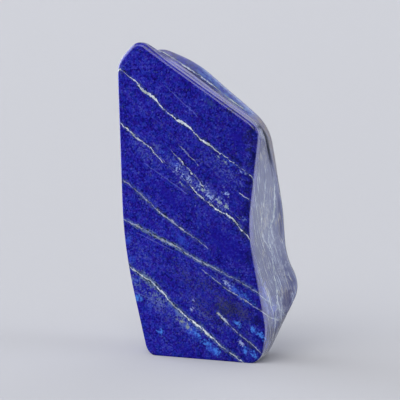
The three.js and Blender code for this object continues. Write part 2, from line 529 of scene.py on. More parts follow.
print("over the blues:", HAIR, VIOLET, AZURE, SHADE, SPECK)


# %% [markdown]
# ### Patches
#
# Some areas differ: clear azure where the lazurite is purest, haze where fine calcite is mixed in, white
# flecks, an olive tinge where pyrite weathered, and a dull violet zone low on the right. Each is a soft
# ellipsoid in the rock, given by its place along and across the layers, its half length and half width, and
# its strength. A kind of patch has a tint, the share of it at most, the size of its specks in millimetres,
# and two numbers for its edge: how far noise eats into it, and how much it comes and goes by whole grains.

# %% Patches
PATCH_DEPTH = 22.0
PATCHES = {
    "clear": (
        ("#19138a", 0.6, 5.0, 0.9, 0.4),
        [
            (105, 164, 16, 9, 1.2), (89, 104, 24, 8, 1.2), (137, 105, 26, 11, 1.3), (51, 172, 20, 6, 1.1),
            (146, 69, 12, 4, 0.9), (156, 33, 16, 6, 0.9), (60, 108, 12, 6, 0.8),
        ],
    ),
    "haze": (
        ("#5a66ae", 0.55, 2.2, 2.6, 0.8),
        [
            (86, 123, 22, 6, 0.8), (110, 124, 18, 6, 0.9), (60, 116, 16, 6, 0.5), (108, 142, 26, 7, 0.5),
            (122, 44, 20, 6, 0.8), (145, 46, 16, 5, 0.9), (96, 62, 20, 6, 0.3), (152, 60, 22, 5, 0.4),
            (154, 86, 16, 5, 0.6), (63, 124, 5, 3.5, 1.0), (77, 92, 8, 4, 0.6),
        ],
    ),
    "grey haze": (
        ("#7083a0", 0.7, 2.6, 2.2, 0.7),
        [
            (109, 52, 13, 4, 1.5), (102, 45, 10, 5, 0.6), (122, 47, 12, 6, 0.7), (138, 49.5, 10, 5, 0.9),
            (156, 51, 8, 4, 0.6), (96, 52, 9, 4, 0.5), (138, 120.5, 5, 3, 0.5),
        ],
    ),
    "dull violet": (
        ("#2a2962", 0.65, 3.0, 2.4, 0.5),
        [(112, 168, 14, 6, 0.9), (150, 66, 14, 5, 0.6), (168, 79, 17, 8, 0.9), (92, 176, 14, 3, 0.6)],
    ),
    "slate": (
        ("#20244c", 0.8, 2.6, 2.0, 0.5),
        [
            (107.5, 171.5, 5, 5, 0.9), (114, 163, 5, 4, 0.9), (119.5, 156, 5, 4, 0.8),
            (128, 142, 5, 4, 0.6), (133, 128, 5, 3, 0.5), (141.5, 118, 5, 3.5, 0.9),
            (160, 71, 11, 5.5, 1.2), (187.7, 65.4, 8, 3.5, 1.0), (182, 70, 6, 2.5, 0.7),
            (137, 52.6, 8, 2.5, 0.6), (118, 57, 8, 3, 0.5),
        ],
    ),
    "night": (
        ("#12114c", 0.85, 2.4, 2.4, 0.6),
        [
            (89, 173, 6, 3.5, 0.9), (110, 151.8, 16, 1.6, 1.0), (164, 76, 13, 6, 1.2),
            (159, 63, 8, 2.5, 0.7), (182, 81, 7, 5, 1.1), (184, 66.5, 7, 1.8, 0.8), (137, 129, 4, 3, 0.7),
            (164, 103, 4, 3, 0.5), (125, 147, 4, 4, 0.8), (109.5, 167, 6, 5, 0.8), (118, 158, 5, 4, 0.5),
            (123, 150, 5, 3.5, 0.6), (127, 141.5, 5, 3.5, 0.7), (139, 118.5, 5, 3, 0.6),
            (153.6, 105, 5, 4, 0.4),
        ],
    ),
    "teal": (
        ("#27437c", 0.6, 2.0, 2.0, 0.5),
        [(75, 169.5, 7, 3, 1.0)],
    ),
    "soft azure": (
        ("#3a5ad2", 0.5, 3.4, 1.8, 0.4),
        [
            (80, 123.5, 6, 4, 0.9), (67.7, 124, 6, 3.4, 0.7), (108, 148, 9, 3, 0.7), (112, 88, 13, 5, 0.8),
            (83, 63.5, 4, 7, 0.8), (92, 55, 4, 6, 0.9), (102, 46, 4, 5, 0.8), (119.6, 40, 6, 4, 0.8),
            (135, 49, 12, 5, 0.8), (150.6, 45.7, 14, 5, 1.1), (170, 45.6, 9, 4, 1.1),
            (159, 86.4, 13, 2.8, 1.0), (145, 82.5, 8, 2, 0.7), (167, 84, 9, 2.4, 0.8),
            (15, 160, 8, 9, 0.35), (20, 141, 8, 5, 0.3),
        ],
    ),
    "azure": (
        ("#4680de", 0.85, 2.4, 3.0, 0.5),
        [
            (135.6, 31.0, 3.2, 3.2, 1.1), (139.5, 30.2, 3.0, 2.0, 0.4), (155, 46.4, 8.0, 4.2, 0.7),
            (165, 46.6, 8.0, 4.0, 0.7), (172, 46.8, 7.0, 3.6, 0.9), (110.4, 38.1, 4.0, 3.4, 1.0),
            (161, 86.8, 7.0, 2.2, 0.6), (169, 88.0, 9.0, 2.2, 0.6), (173.5, 70.6, 5.0, 2.4, 0.9),
            (184, 74.4, 4.5, 2.6, 1.1), (189.5, 75.0, 5.0, 2.8, 1.1), (188, 60.8, 5.0, 2.8, 0.9),
            (193.5, 62, 4.0, 3.0, 0.9),
        ],
    ),
    "olive": (
        ("#8d9a8a", 0.85, 1.6, 3.0, 0.8),
        [(142.4, 46.2, 3.8, 2.8, 0.9), (148.4, 46.3, 4.0, 2.8, 0.9)],
    ),
    "dull grains": (
        ("#4a4d68", 0.5, 0.8, 3.2, 0.7),
        [
            (127, 71.6, 16, 9, 0.5), (141.4, 75.5, 16, 8, 0.55), (159.5, 74.4, 16, 7, 0.8),
            (170, 77.5, 12, 7, 0.7), (150, 62, 20, 6, 0.6), (133, 43, 24, 7, 0.4), (95, 116, 12, 4, 0.6),
        ],
    ),
    "flecks": (
        ("#a4b2de", 0.7, 1.2, 2.4, 0.9),
        [
            (82, 122.5, 4, 4, 0.5), (88.5, 121, 5, 3, 0.4), (93, 122.3, 5, 3, 0.4),
            (103.5, 123.5, 7, 4, 0.4), (111, 122, 7, 3.4, 0.45), (118.5, 124, 8, 3.6, 0.6),
            (118, 130.7, 4, 2, 0.5), (151.3, 86.4, 2.4, 2.0, 1.2), (155.3, 85.7, 2.2, 1.8, 0.9),
            (182.3, 62.3, 3.0, 2.2, 1.3), (144, 57, 1.8, 2.0, 0.7), (141, 62, 1.6, 1.8, 0.6),
            (166, 66, 4.0, 2.0, 0.5),
        ],
    ),
    "knots": (
        ("#8ba2da", 0.7, 1.5, 2.0, 0.6),
        [
            (81.9, 122.3, 1.4, 2.8, 1.0), (87.8, 121.4, 1.6, 1.4, 0.7), (92, 121.6, 2.2, 1.9, 1.0),
            (100.1, 122.5, 2.2, 1.2, 0.9), (110.6, 122.2, 3.0, 2.4, 0.9), (117.6, 131.2, 2.0, 2.0, 0.9),
            (113.4, 133.4, 1.6, 1.2, 0.6), (117.6, 148.2, 2.6, 1.2, 0.8), (121, 149.3, 1.8, 1.2, 0.8),
            (136.9, 126, 2.4, 1.8, 0.8), (101.5, 144.7, 2.0, 1.0, 0.6), (106, 112, 1.0, 2.4, 0.5),
        ],
    ),
    "pale green knots": (
        ("#93a8a8", 0.85, 1.5, 1.6, 0.6),
        [
            (104.2, 122.7, 2.6, 1.6, 1.0), (117, 123.9, 3.0, 1.4, 1.0), (122.5, 124.5, 3.4, 1.5, 1.0),
            (105.4, 146.3, 3.0, 1.2, 0.8), (100, 146, 2.4, 1.0, 0.6), (90.7, 116.5, 3.0, 1.6, 0.6),
            (94.8, 113.3, 2.4, 1.2, 0.5),
        ],
    ),
}
print("kinds of patches:", ", ".join(PATCHES))

# %% Ragged blots
BLOT_BORDER = 0.2
BLOT_LIMITS = (0.25, 0.95)


def blotted(colour, coordinates, look, blots):
    """A colour with ragged blots mixed in, and their mask. A blot is a centre, half sizes and a strength."""
    tint, most, speck_mm, ragged, grainy = look
    cover = None
    for centre, halves, strength in blots:
        scale = [1 / half for half in halves]
        shift = [-at / half for at, half in zip(centre, halves)]
        offset = add(rock, "VectorMath", coordinates, scale, shift, operation="MULTIPLY_ADD")
        reach = add(rock, "VectorMath", offset, operation="LENGTH").outputs["Value"]
        blot = add(rock, "Math", reach, -strength, strength, operation="MULTIPLY_ADD")
        cover = blot if cover is None else add(rock, "Math", cover, blot, operation="MAXIMUM")
    eaten = add(rock, "TexNoise", place, 1 / speck_mm, 4.0, 0.65)
    eaten = add(rock, "Math", eaten, ragged, -0.5 * (ragged + grainy), operation="MULTIPLY_ADD")
    eaten = add(rock, "Math", grain_green, grainy, eaten, operation="MULTIPLY_ADD")
    within = add(rock, "Math", cover, 1 / BLOT_BORDER, 0.5, operation="MULTIPLY_ADD", use_clamp=True)
    eaten = add(rock, "Math", eaten, cover, operation="ADD")
    mask = add(rock, "MapRange", eaten, *BLOT_LIMITS, 0.0, most, interpolation_type="SMOOTHSTEP")
    mask = add(rock, "Math", mask, within, operation="MULTIPLY")
    return add(rock, "Mix", mask, colour, linear(tint), data_type="RGBA"), mask


for name, (look, spots) in PATCHES.items():
    blots = []
    for along, level, long, wide, strength in spots:
        blots.append(((along, level, 0), (long, wide, PATCH_DEPTH), strength))
    colour, _ = blotted(colour, lower_layers, look, blots)
    print(f"{name}: {len(blots)} patches")


# %% [markdown]
# ### Painted shade at the face's right edge
#
# Just before it rounds over to the side, the polished face is painted darker in night blue. This is painted
# shade for the light that falls off there as the rim turns away from the lamps on the left. It is drawn as a
# chain of upright blots that overlap down the right edge, each given by its place across and up.

# %% Dark edge
# Painted shade: night-blue blots down the flat face's right edge, where the rim turns from the light.
PAINTED_EDGE_SHADE = ("#0c0e36", 0.75, 2.0, 1.4, 0.4)
PAINTED_EDGE_SHADE_AT = ((95, 147), (95.5, 130), (93.5, 115), (91.5, 99), (90.5, 83), (92.5, 67))
PAINTED_EDGE_SHADE_HALVES = (5, 3, 11)
PAINTED_EDGE_SHADE_STRENGTH = 0.9

blots = [((x, 0, z), PAINTED_EDGE_SHADE_HALVES, PAINTED_EDGE_SHADE_STRENGTH) for x, z in PAINTED_EDGE_SHADE_AT]
colour, _ = blotted(colour, place, PAINTED_EDGE_SHADE, blots)
print("dark edge:", len(blots), "blots")


# %% [markdown]
# ### The ground side
#
# The side was never lapped. A belt leaves its grains a little crushed, so they scatter more light and look
# paler and greyer than the same grains under the mirror face. Calcite makes milky clouds in it, and the foot
# of the side is a clearer blue. The low facets turn away from the lamps. Their shade is painted into their
# colour as a dark violet, and they are left matt at a coarse grit.

# %% Side
SIDE_BLUE, SIDE_SHARE = "#2b3563", 0.8
SIDE_ACROSS, SIDE_WANDER_MM, SIDE_WANDER = (89.5, 95.0), 14, 8.0
SIDE_DEPTHS = (0.8, 6.0)
SIDE_BLOTS = {
    "milky clouds": (
        ("#a9b0c0", 0.35, 3.0, 2.6, 0.5),
        [
            ((97, 19, 91), (5, 8, 16), 1.0),
            ((98, 27, 76), (5, 7, 12), 0.8),
            ((99, 17, 62), (6, 5, 14), 0.5),
            ((102, 33, 55), (6, 8, 12), 0.8),
            ((103, 14, 30), (6, 5, 16), 0.6),
        ],
    ),
    "blue foot": (
        ("#5262c4", 0.85, 3.0, 1.6, 0.4),
        [
            ((99, 7, 38), (6, 8, 20), 1.3),
            ((101, 16, 30), (6, 9, 14), 1.3),
            ((98.5, 7, 20), (6, 10, 18), 2.0),
        ],
    ),
    # Painted shade: the low facets turn away from the lamps, so a dark violet is painted into them.
    "dark facets": (
        ("#1b1556", 0.9, 3.6, 2.0, 0.4),
        [
            ((105, 32, 36.5), (9, 12, 12), 1.3),
            ((103.5, 17, 29), (8, 9, 8), 0.9),
            ((99, 5, 52), (6, 5, 16), 0.5),
            ((101, 27, 56), (6, 5, 6), 0.4),
            ((98.5, 2.5, 128), (5, 5, 18), 0.9),
        ],
    ),
}

side = add(rock, "TexNoise", place, 1 / SIDE_WANDER_MM, 2.0)
side = add(rock, "Math", side, SIDE_WANDER, across_stone, operation="MULTIPLY_ADD")
side = add(rock, "MapRange", side, *SIDE_ACROSS)
ground = add(rock, "MapRange", depth, *SIDE_DEPTHS)
side = add(rock, "Math", side, ground, operation="MULTIPLY")
crushed = add(rock, "Math", side, SIDE_SHARE, operation="MULTIPLY")
side_colour = add(rock, "Mix", crushed, colour, linear(SIDE_BLUE), data_type="RGBA")
side_masks = {}
for name, (look, blots) in SIDE_BLOTS.items():
    side_colour, side_masks[name] = blotted(side_colour, place, look, blots)
    print(f"{name}: {len(blots)} blots")
shaded_facets = side_masks["dark facets"]


# %% [markdown]
# ### Streaks on the side
#
# Layers that meet the ground side edge on show as streaks that run down it: pale calcite, cream where it is
# stained, and dark lines between them. One noise, pressed flat along the layers, gives all three, the pale
# ones at its peaks and the dark ones in its hollows. A second noise gathers the pale ones into groups. They
# are fewer on the facets with painted shade, and they fade towards the back.

# %% Streaks
STREAK, CREAM, DARK_STREAK = "#a6b1c7", "#b1ad9f", "#282c6a"
STREAK_MM = (18, 18, 0.7)
PALE_LIMITS, PALE_SHARE = (0.53, 0.63), 0.9
DARK_LIMITS, DARK_SHARE = (0.48, 0.38), 0.6
CREAM_MM, CREAM_LIMITS = 13, (0.48, 0.56)
GROUP_MM, GROUP_LIMITS, BETWEEN_GROUPS = 8, (0.44, 0.58), 0.25
FEWER_ON_FACETS = 0.5
BACK_DEPTHS, STREAKS_AT_BACK = (36.0, 50.0), 0.3

streaks = add(rock, "Mapping", bent, None, LAYER_TURN, STREAK_MM, vector_type="TEXTURE")
streaks = add(rock, "TexNoise", streaks, 1.0, 3.0, 0.7)
cream = add(rock, "TexNoise", place, 1 / CREAM_MM, 3.0)
cream = add(rock, "MapRange", cream, *CREAM_LIMITS)
pale_colour = add(rock, "Mix", cream, linear(STREAK), linear(CREAM), data_type="RGBA")
dark = add(rock, "MapRange", streaks, *DARK_LIMITS, 0.0, DARK_SHARE)
side_colour = add(rock, "Mix", dark, side_colour, linear(DARK_STREAK), data_type="RGBA")
pale = add(rock, "MapRange", streaks, *PALE_LIMITS, 0.0, PALE_SHARE)
fewer = add(rock, "Math", shaded_facets, -FEWER_ON_FACETS, 1.0, operation="MULTIPLY_ADD")
grouped = add(rock, "TexNoise", place, 1 / GROUP_MM, 2.0, 0.6)
grouped = add(rock, "MapRange", grouped, *GROUP_LIMITS, BETWEEN_GROUPS, 1.0)
at_back = add(rock, "MapRange", depth, *BACK_DEPTHS, 1.0, STREAKS_AT_BACK)
for part in (fewer, grouped, at_back):
    pale = add(rock, "Math", pale, part, operation="MULTIPLY")
side_colour = add(rock, "Mix", pale, side_colour, pale_colour, data_type="RGBA")
colour = add(rock, "Mix", side, colour, side_colour, data_type="RGBA")
print("streaks:", STREAK_MM[2], "mm thick and", STREAK_MM[0], "mm long")


# %% [markdown]
# ### Along the seam
#
# The seam behind the ledge is worn into a groove, and the shade in it is painted into the colour as dark
# bands. Just behind it runs a vein of white calcite, stained grey where water got in. The ridge that rises
# there is another bed of the rock: milky at its left end, then grey, then azure, and a warm grey where it
# comes down over the shoulder. Down there the groove is wider, its painted shade is darker still, and it
# has a crust that no belt reached. Each band is a window in two measures: how far behind the seam, and how
# far across the stone. It ends below a height of its own, because the seam runs on down into the rock. All
# but the dark bands are patchy, and torn along the layers.
#
# A band is its tint, the share of it at most, its two reaches in millimetres, its lowest height, and how
# soft its edges along the seam are.

# %% Bands along the seam
FADE_UP = 12
END_SOFT = 6
TORN_SCALE, TORN_LIMITS, TORN_LEAST = 0.5, (0.36, 0.52), 0.35
PATCHY_MM, PATCHY_LIMITS, PATCHY_LEAST = 3.4, (0.43, 0.57), 0.3
SEAM_BANDS = {
    "blue ledge": ("#101d4e", 0.8, (-13, -1), (10, 33), 116, 8),
    "milky end": ("#6c6a6c", 0.85, (1, 13), (6, 30), 152, 4),
    "grey ridge": ("#626c88", 0.7, (4, 15), (30, 48), 130, 5),
    "azure ridge": ("#5676b0", 0.8, (4, 17), (46, 88), 130, 5),
    "warm shoulder": ("#988e86", 0.8, (2.4, 12), (86, 130), 114, 1.6),
    "stained vein": ("#7d868c", 0.7, (1.4, 5.4), (60, 76), 116, 1.2),
    # Painted shade: the four dark bands below darken the groove along the seam, most at the shoulder.
    "dark shade in the groove": ("#141637", 0.85, (-1.2, 2.4), (40, 88), 116, 1.2),
    "dark shade in the wide groove": ("#232a36", 0.8, (0.4, 3.8), (91, 130), 130, 1.6),
    "dark shade at the groove's edge": ("#2b3138", 0.9, (-2.8, 2.0), (88, 130), 121, 1.2),
    "dark shadow deep in the groove": ("#05060a", 0.95, (-2.2, 0.6), (88, 130), 125, 0.8),
}
CRUSTED = {"blue ledge", "milky end", "grey ridge", "warm shoulder"}
CRUSTED |= {"dark shade in the wide groove", "dark shade at the groove's edge", "dark shadow deep in the groove"}
# Painted shade: dark blots in the groove where it widens near the top of the shoulder.
HOLLOW_SHADE = ("#1c2440", 0.85, 2.0, 0.8, 0.3)
HOLLOW_SHADE_AT = [((95.0, 10, 147.4), (4, 11, 2.6), 1.1), ((97, 12, 143.5), (3, 6, 3.0), 1.0)]


def window(value, low, high, soft):
    """A mask that is 1 from low to high, with ends as long as soft."""
    rise = add(rock, "MapRange", value, low - soft / 2, low + soft / 2)
    fall = add(rock, "MapRange", value, high - soft / 2, high + soft / 2, 1.0, 0.0)
    return add(rock, "Math", rise, fall, operation="MULTIPLY")


colour, crust = blotted(colour, place, HOLLOW_SHADE, HOLLOW_SHADE_AT)
torn = add(rock, "TexNoise", flattened, TORN_SCALE, 4.0, 0.65)
torn = add(rock, "MapRange", torn, *TORN_LIMITS, TORN_LEAST, 1.0)
patchy = add(rock, "TexNoise", place, 1 / PATCHY_MM, 4.0, 0.65)
patchy = add(rock, "MapRange", patchy, *PATCHY_LIMITS, PATCHY_LEAST, 1.0)
for name, (tint, most, behind, sideways, lowest, soft) in SEAM_BANDS.items():
    mask = window(behind_seam, *behind, soft)
    mask = add(rock, "Math", mask, window(across_stone, *sideways, END_SOFT), operation="MULTIPLY")
    high_enough = add(rock, "MapRange", height_up, lowest, lowest + FADE_UP)
    mask = add(rock, "Math", mask, high_enough, operation="MULTIPLY")
    if not name.startswith("dark"):
        mask = add(rock, "Math", mask, torn, operation="MULTIPLY")
        mask = add(rock, "Math", mask, patchy, operation="MULTIPLY")
    mask = add(rock, "Math", mask, most, operation="MULTIPLY")
    if name in CRUSTED:
        crust = add(rock, "Math", crust, mask, operation="MAXIMUM")
    colour = add(rock, "Mix", mask, colour, linear(tint), data_type="RGBA")
print("bands:", ", ".join(SEAM_BANDS))


# %% [markdown]
# ### Calcite threads
#
# Thin threads of white calcite fill old cracks along the layers. Each is drawn by a few points, given as
# the place along the layers, the level across them, and the thread's half width there. One curve follows
# the level and one the half width, so a thread can swell into a bead or die out. Cells and a noise vary the
# width, which breaks the thinnest into dashes.
#
# The threads come in four groups, each in its own coordinates: the steep upper layers, the gentle lower
# ones, the seam, and the ground side, where the place is the height and the level is the depth. The two
# numbers before the points are shares: how clear the thread is, and how cloudy the rock beside it. Wisps
# are threads so thin that only a trace of them shows.

# %% Drawn threads
THREADS = {
    "upper": {
        "crown": (1.0, 0.25, [
            (8, 146.8, 0.5), (14, 147.3, 0.5), (21, 147.7, 0.3), (30, 147.6, 0.45), (35, 147.2, 0.9),
            (41, 147.8, 0.85), (46, 147.4, 0.45), (50, 146.5, 0.35), (57, 146.4, 0.32), (62, 147, 0.65),
            (67, 147.5, 0.75), (72, 148, 0.5), (77, 147.7, 0.35), (83, 147.2, 0.65), (89, 147.7, 0.75),
            (95, 148.2, 0.5), (100, 148.6, 0.3), (110, 149.7, 0.2), (124, 150.5, 0.24),
        ]),
        "left": (0.85, 0.3, [
            (30, 119.4, 0.3), (37, 120.2, 0.45), (42, 119.9, 0.5), (48, 119.9, 0.42), (54, 120.3, 0.36),
            (60, 120.6, 0.34), (65, 119.7, 0.3), (70, 119.1, 0.3), (73, 118.8, 0),
        ]),
        "middle": (0.85, 0.1, [
            (66, 129.6, 0), (73, 128.6, 0.16), (78, 128, 0.34), (83, 127.3, 0.42), (89, 126.6, 0.24),
            (97, 125.9, 0.3), (101, 125, 0.4), (104, 124, 0),
        ]),
        "short": (0.45, 0.0, [
            (74, 134.5, 0), (78, 134.4, 0.24), (84, 134.1, 0.24), (90, 133.3, 0.24), (94, 132.8, 0),
        ]),
        "waist": (1.0, 0.3, [
            (92, 120.2, 0), (96, 119.4, 0.4), (100, 118.7, 0.42), (106, 118, 0.32), (111, 118.3, 0.34),
            (117, 118.9, 0.46), (122, 119.5, 0.48), (127, 120.9, 0.46), (133, 120.8, 0.42),
            (140, 119.4, 0.34), (146, 119.3, 0.34), (160, 118, 0.3),
        ]),
        "edge dash": (0.7, 0.1, [(124, 137, 0), (128, 137.4, 0.28), (133, 138.1, 0.3), (140, 138.8, 0.24)]),
        "lower left": (0.5, 0.5, [
            (56, 91.5, 0.3), (65, 93, 0.3), (71, 92.7, 0.42), (76, 92.5, 0.4), (82, 92.3, 0.3),
            (87, 92.2, 0.42), (92, 92.4, 0.5), (97, 92.7, 0.36), (103, 93.2, 0.34), (109, 93.8, 0.42),
            (115, 94.3, 0.3), (122, 95, 0.26), (131, 95.7, 0),
        ]),
    },
    "lower": {
        "thin low": (0.6, 0.2, [
            (133, 82.4, 0), (140, 82.5, 0.24), (150, 82.8, 0.26), (160, 84.1, 0.26), (175, 86.6, 0.28),
            (190, 89, 0.24),
        ]),
        "foot": (1.0, 0.8, [
            (85, 50, 0.3), (100, 51.1, 0.34), (105, 51.8, 0.5), (112, 52.9, 0.62), (118, 52.5, 0.62),
            (124, 52.2, 0.46), (130, 51.1, 0.45), (137, 50.8, 0.36), (143, 51, 0.45), (149, 51.3, 0.5),
            (155, 51.8, 0.7), (161, 51.9, 0.6), (167, 52.1, 0.5), (173, 51.8, 0.45), (180, 52.4, 0.36),
            (190, 53.4, 0.3),
        ]),
        "corner": (0.6, 0.4, [
            (157, 67.3, 0), (161, 67, 0.6), (166, 66.4, 0.5), (171, 66, 0.3), (178, 65.9, 0.26),
            (186, 66.4, 0.3), (196, 66.4, 0.26),
        ]),
        "grey": (0.42, 1.0, [
            (68, 71, 0.2), (79, 74, 0.34), (84, 75.4, 0.5), (90, 76.8, 0.5), (97, 78.4, 0.5),
            (103, 79.7, 0.55), (110, 81.7, 0.5), (118, 83.1, 0.44), (126, 84.6, 0.4), (136, 87, 0.4),
            (144, 89.3, 0.34), (151, 90.9, 0.24), (158, 92.7, 0.24), (165, 94.2, 0.28), (172, 94.8, 0.26),
            (185, 96, 0.26),
        ]),
    },
    "seam": {
        "behind the ledge": (0.65, 0.3, [
            (18, 2.6, 0.9), (22, 2.8, 0.7), (24.4, 3.0, 0.5), (28, 3.9, 0.45), (31, 4.3, 0.45),
            (34, 3.8, 0.35), (37, 3.3, 0.5), (39.5, 3.2, 0.75), (43, 3.3, 0.6), (45.5, 3.5, 0.5),
            (48, 3.9, 0.8), (51, 4.0, 0.85), (53, 4.2, 0.85), (56, 4.4, 0.7), (59.6, 4.8, 0.5), (64, 5, 0),
        ]),
        "towards the shoulder": (0.75, 0.2, [
            (68, 4.8, 0), (71, 5, 0.4), (73.5, 5.2, 0.6), (76, 5.5, 0.6), (78.8, 5.9, 0.36), (83, 6.2, 0),
        ]),
    },
    "side": {
        "down the side": (0.6, 0.25, [
            (10, 15.5, 0.4), (21.5, 17, 0.5), (28, 16.4, 0.6), (32.7, 19, 0.5), (38, 21, 0.5),
            (45, 22.4, 0.6), (54, 23.1, 0.45), (59, 24.2, 0.6), (67, 25.2, 0.6), (76, 22.4, 0.6),
            (84, 24.8, 0.5), (91, 27, 0.9), (101, 26.1, 0.7), (112, 25, 0.3), (120, 24, 0),
        ]),
        "beside it": (0.5, 0.15, [
            (66, 25, 0.3), (72, 21, 0.5), (77, 16.5, 0.45), (84, 14.5, 0.4), (94, 14.5, 0.45),
            (101, 15.4, 0.45), (110, 15, 0.3), (116, 15, 0),
        ]),
    },
}
WISPS = {
    "upper": {
        "crown wisp": [(44, 158.6, 0), (51, 158.4, 0.3), (60, 157.8, 0.35), (68, 157.6, 0.3), (75, 157, 0)],
        "under left": [(61, 110, 0), (65, 110.5, 0.3), (80, 112.2, 0.36), (94, 113.4, 0.3), (98, 113.8, 0)],
    },
    "lower": {
        "faint low": [(98, 37.5, 0.2), (105, 39.4, 0.4), (119, 44.1, 0.4), (126, 46.3, 0.3), (131, 47.5, 0)],
        "side of the grey": [(84, 71, 0), (92, 73.4, 0.3), (104, 76.5, 0.3), (112, 78.6, 0)],
    },
}
print("threads:", [name for drawn in THREADS.values() for name in drawn])


# %% [markdown]
# A Float Curve turns the place along a thread into its level, and a second one into its half width. The
# thread is there where the level of a place is nearer to the curve than that half width, and the rock
# beside it takes up a wider and softer strip. Where the width sinks to nothing, both fade out.

# %% Tracing a thread
CURVE_LENGTH = 200.0
CURVE_REACH = 15.0
WIDEST = 1.6
HAIRLINE = 0.05
THREAD_EDGE, THREAD_LEAST = 0.18, 0.1
BORDER_MM, BORDER_FADE, BORDER_GROWS = 1.6, 0.8, 2.4


def curve_of(position, points, low, high):
    """A value that follows points of (place along, value), between a low and a high limit."""
    made = add(rock, "FloatCurve", 1.0, position)
    drawn = made.mapping.curves[0].points
    while len(drawn) < len(points):
        drawn.new(0.5, 0.5)
    for point, (along, value) in zip(drawn, points):
        point.location = (along / CURVE_LENGTH, (value - low) / (high - low))
    made.mapping.extend = "HORIZONTAL"
    made.mapping.update()
    return add(rock, "Math", made, high - low, low, operation="MULTIPLY_ADD")


def trace(position, level, swell, points):
    """Masks of a thread and of the rock beside it, from its points (along, level, half width)."""
    middle = sum(at for _, at, _ in points) / len(points)
    path = [(place_along, at) for place_along, at, _ in points]
    centre = curve_of(position, path, middle - CURVE_REACH, middle + CURVE_REACH)
    away = add(rock, "Math", level, centre, operation="SUBTRACT")
    away = add(rock, "Math", away, operation="ABSOLUTE")
    half_width = curve_of(position, [(place_along, half) for place_along, _, half in points], 0, WIDEST)
    half_width = add(rock, "Math", half_width, HAIRLINE, operation="SUBTRACT")
    width = add(rock, "Math", half_width, swell, operation="MULTIPLY")
    inside = add(rock, "Math", width, away, operation="SUBTRACT")
    inside = add(rock, "Math", inside, 1 / THREAD_EDGE, 0.5, operation="MULTIPLY_ADD", use_clamp=True)
    present = add(rock, "Math", width, 1 / THREAD_LEAST, operation="MULTIPLY", use_clamp=True)
    inside = add(rock, "Math", inside, present, operation="MULTIPLY")
    beside = add(rock, "Math", half_width, away, operation="SUBTRACT")
    fade, start = 1 / BORDER_FADE, BORDER_MM / BORDER_FADE
    beside = add(rock, "Math", beside, fade, start, operation="MULTIPLY_ADD", use_clamp=True)
    present = add(rock, "Math", half_width, BORDER_GROWS, operation="MULTIPLY", use_clamp=True)
    return inside, add(rock, "Math", beside, present, operation="MULTIPLY")


print("a thread is at most", 2 * WIDEST, "mm wide, with a border of", BORDER_MM, "mm")


# %% [markdown]
# A jitter and a small shift from cell to cell keep the threads from looking ruled. The levels and widths
# that they change are made once for each group, and every thread of the group is traced in them.

# %% Threads
JITTER_MM, JITTER = 1.4, 1.2
CLUMP_MM, CLUMP_SHIFT, CLUMP_SHARE = (3.0, 1.3, 3.0), 0.7, 1.1
SWELL_MM, SWELL_SHARE, SWELL_START = (1.6, 0.9, 1.6), 3.0, -1.25


def cells_of(layers, lengths):
    """Three random values for each cell of a pattern of cells, of the given lengths in layer coordinates."""
    scaled = add(rock, "VectorMath", layers, [1 / length for length in lengths], operation="MULTIPLY")
    cells = add(rock, "TexVoronoi", scaled, 1.0)
    return shown(add(rock, "SeparateColor", cells.outputs["Color"]).outputs)


def highest(masks):
    """The highest of several masks at each place."""
    top = masks[0]
    for mask in masks[1:]:
        top = add(rock, "Math", top, mask, operation="MAXIMUM")
    return top


jitter = add(rock, "TexNoise", place, 1 / JITTER_MM, 2.0, 0.6)
jitter = add(rock, "Math", jitter, JITTER, -0.5 * JITTER, operation="MULTIPLY_ADD")
threads, borders, veils, wisps = [], [], [], []
seam_layers = add(rock, "CombineXYZ", across_stone, behind_seam, depth)
side_layers = add(rock, "CombineXYZ", height_up, depth, across_stone)
all_layers = {"upper": upper_layers, "lower": lower_layers, "seam": seam_layers, "side": side_layers}
clumps = {group: cells_of(layers, CLUMP_MM) for group, layers in all_layers.items()}
for group, layers in all_layers.items():
    along, level, _ = shown(add(rock, "SeparateXYZ", layers).outputs)
    level = add(rock, "Math", level, jitter, operation="ADD")
    position = add(rock, "Math", along, 1 / CURVE_LENGTH, operation="MULTIPLY")
    for points in WISPS.get(group, {}).values():
        wisps.append(trace(position, level, 1.0, points)[0])
    size, shift, _ = clumps[group]
    shift = add(rock, "Math", shift, CLUMP_SHIFT, -0.5 * CLUMP_SHIFT, operation="MULTIPLY_ADD")
    level = add(rock, "Math", level, shift, operation="ADD")
    swell = add(rock, "VectorMath", layers, [1 / length for length in SWELL_MM], operation="MULTIPLY")
    swell = add(rock, "TexNoise", swell, 1.0, 3.0, 0.7)
    swell = add(rock, "Math", swell, SWELL_SHARE, SWELL_START, operation="MULTIPLY_ADD")
    swell = add(rock, "Math", size, CLUMP_SHARE, swell, operation="MULTIPLY_ADD")
    for clear, cloudy, points in THREADS[group].values():
        inside, beside = trace(position, level, swell, points)
        if group == "side":
            inside = add(rock, "Math", inside, side, operation="MULTIPLY")
            beside = add(rock, "Math", beside, side, operation="MULTIPLY")
        else:
            borders.append(beside)
        threads.append(add(rock, "Math", inside, clear, operation="MULTIPLY"))
        veils.append(add(rock, "Math", beside, cloudy, operation="MULTIPLY"))
thread, border, veil, wisp = highest(threads), highest(borders), highest(veils), highest(wisps)
print("drawn:", len(threads), "threads and", len(wisps), "wisps")


# %% [markdown]
# ### Colours of the threads
#
# Pure calcite is white, and greyer where it took up a stain. Beside a thread the rock is cloudy with fine
# calcite, and single grains of it are nearly black, which sets the white off.

